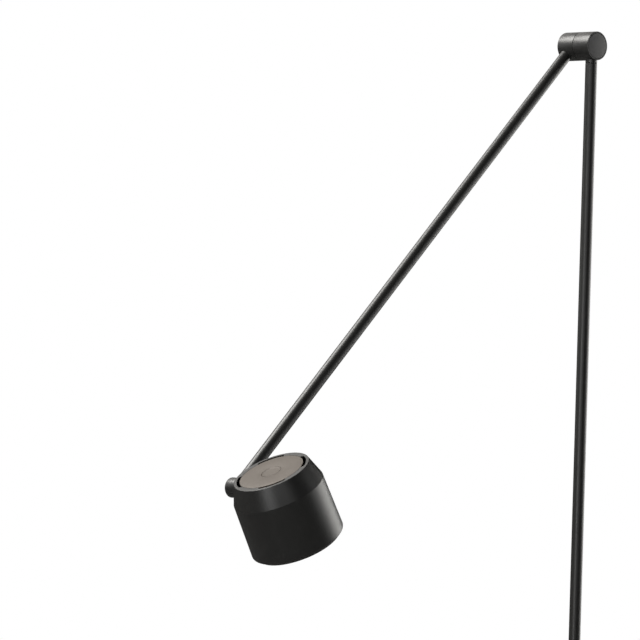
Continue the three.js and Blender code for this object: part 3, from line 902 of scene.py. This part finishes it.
def floor():
    """A pale round floor, which fades into the white background away from the lamp."""
    solid_r, edge_r = 0.9, 2.0
    mesh = bpy.data.meshes.new("floor")
    bm = bmesh.new()
    bmesh.ops.create_circle(bm, cap_ends=True, segments=96, radius=edge_r)
    bm.to_mesh(mesh)
    bm.free()
    ground = placed("floor", mesh)
    ground.location.z = -0.2 * MM
    ground.visible_glossy = False
    material, node = shader("floor", (0.8, 0.8, 0.79), 0.6)
    vary(material, node, "Roughness", noise(material, 3), 0.5, 0.65)
    nodes, links = material.node_tree.nodes, material.node_tree.links
    place = nodes.new("ShaderNodeTexCoord")
    radius = nodes.new("ShaderNodeVectorMath")
    radius.operation = "LENGTH"
    fade = nodes.new("ShaderNodeMapRange")
    fade.interpolation_type = "SMOOTHSTEP"
    fade.inputs["From Min"].default_value = solid_r
    fade.inputs["From Max"].default_value = edge_r
    fade.inputs["To Min"].default_value = 1
    fade.inputs["To Max"].default_value = 0
    links.new(place.outputs["Object"], radius.inputs[0])
    links.new(radius.outputs["Value"], fade.inputs["Value"])
    links.new(fade.outputs["Result"], node.inputs["Alpha"])
    mesh.materials.append(material)


def world(glow):
    """White where it is seen directly. What lights the lamp is a faint glow from below the horizon."""
    studio = bpy.data.worlds.new("studio")
    studio.use_nodes = True
    nodes, links = studio.node_tree.nodes, studio.node_tree.links
    seen = nodes["Background"]
    seen.inputs["Color"].default_value = (1, 1, 1, 1)
    seen.inputs["Strength"].default_value = 1.0
    soft = nodes.new("ShaderNodeBackground")
    soft.inputs["Color"].default_value = (1, 0.98, 0.95, 1)
    direction = nodes.new("ShaderNodeTexCoord")
    height = nodes.new("ShaderNodeSeparateXYZ")
    fade = nodes.new("ShaderNodeMapRange")
    fade.inputs["From Min"].default_value = -0.05
    fade.inputs["From Max"].default_value = -0.35
    fade.inputs["To Min"].default_value = 0
    fade.inputs["To Max"].default_value = glow
    links.new(direction.outputs["Generated"], height.inputs["Vector"])
    links.new(height.outputs["Z"], fade.inputs["Value"])
    links.new(fade.outputs["Result"], soft.inputs["Strength"])
    rays = nodes.new("ShaderNodeLightPath")
    mix = nodes.new("ShaderNodeMixShader")
    links.new(rays.outputs["Is Camera Ray"], mix.inputs["Fac"])
    links.new(soft.outputs["Background"], mix.inputs[1])
    links.new(seen.outputs["Background"], mix.inputs[2])
    links.new(mix.outputs["Shader"], nodes["World Output"].inputs["Surface"])
    bpy.context.scene.world = studio


LAMP_MIDDLE = Vector((-0.25, 0, 0.9))
LIGHT_DISTANCE = 3  # metres from the lamp's middle
camera_azimuth = math.radians(-42.92)
right = Vector((math.cos(camera_azimuth), math.sin(camera_azimuth), 0))
back = Vector((math.sin(camera_azimuth), -math.cos(camera_azimuth), 0))


def softbox(name, azimuth, elevation, size, power, colour=(1, 1, 1)):
    """A soft area light aimed at the lamp's middle. Azimuth turns to the right from the camera."""
    turn, lift = math.radians(azimuth), math.radians(elevation)
    away = (back * math.cos(turn) + right * math.sin(turn)) * math.cos(lift) + Z * math.sin(lift)
    data = bpy.data.lights.new(name, "AREA")
    data.shape = "RECTANGLE"
    data.size, data.size_y = size
    data.energy = power
    data.color = colour
    light = placed(name, data)
    light.location = LAMP_MIDDLE + away * LIGHT_DISTANCE
    light.rotation_mode = "QUATERNION"
    light.rotation_quaternion = (-away).to_track_quat("-Z", "Y")
    light.visible_camera = False


def camera():
    """Level with the head and far away, as in a catalogue picture, rolled by a degree or two."""
    near_end = Vector((0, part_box("elbow_post_cap")[0].y, elbow_at.z))
    aside, below, away = 0.2740, 0.3379, 4.9882
    spot = near_end - right * aside - Z * below + back * away
    pitch, roll = math.radians(-0.58), math.radians(1.70)
    up_1 = Z * math.cos(pitch) - back * math.sin(pitch)
    back_1 = Z * math.sin(pitch) + back * math.cos(pitch)
    right_2 = right * math.cos(roll) + up_1 * math.sin(roll)
    up_2 = up_1 * math.cos(roll) - right * math.sin(roll)
    data = bpy.data.cameras.new("camera")
    data.sensor_width = 36
    data.lens = 275.8
    data.clip_start, data.clip_end = 0.1, 100
    eye = placed("camera", data)
    turn = Matrix((right_2, up_2, back_1)).transposed().to_4x4()
    eye.matrix_world = Matrix.Translation(spot) @ turn
    bpy.context.scene.camera = eye


floor()
world(0.14)
softbox("high_left", -95, 50, (2.6, 1.6), 180, (1, 0.985, 0.95))
softbox("low_left", -110, 15, (1.5, 1.5), 8)
softbox("front_left", -30, 0, (1.0, 1.6), 24)
softbox("front", 0, 12, (2.0, 1.6), 12)
softbox("right", 88, 12, (1.2, 1.6), 9)
softbox("right_back", 125, 2, (2.3, 1.7), 48, (1, 0.985, 0.95))
softbox("back", 205, 38, (2.5, 1.6), 13.4, (1, 0.97, 0.93))
camera()

bpy.context.scene.view_settings.view_transform = "Standard"
bpy.context.scene.view_settings.look = "None"
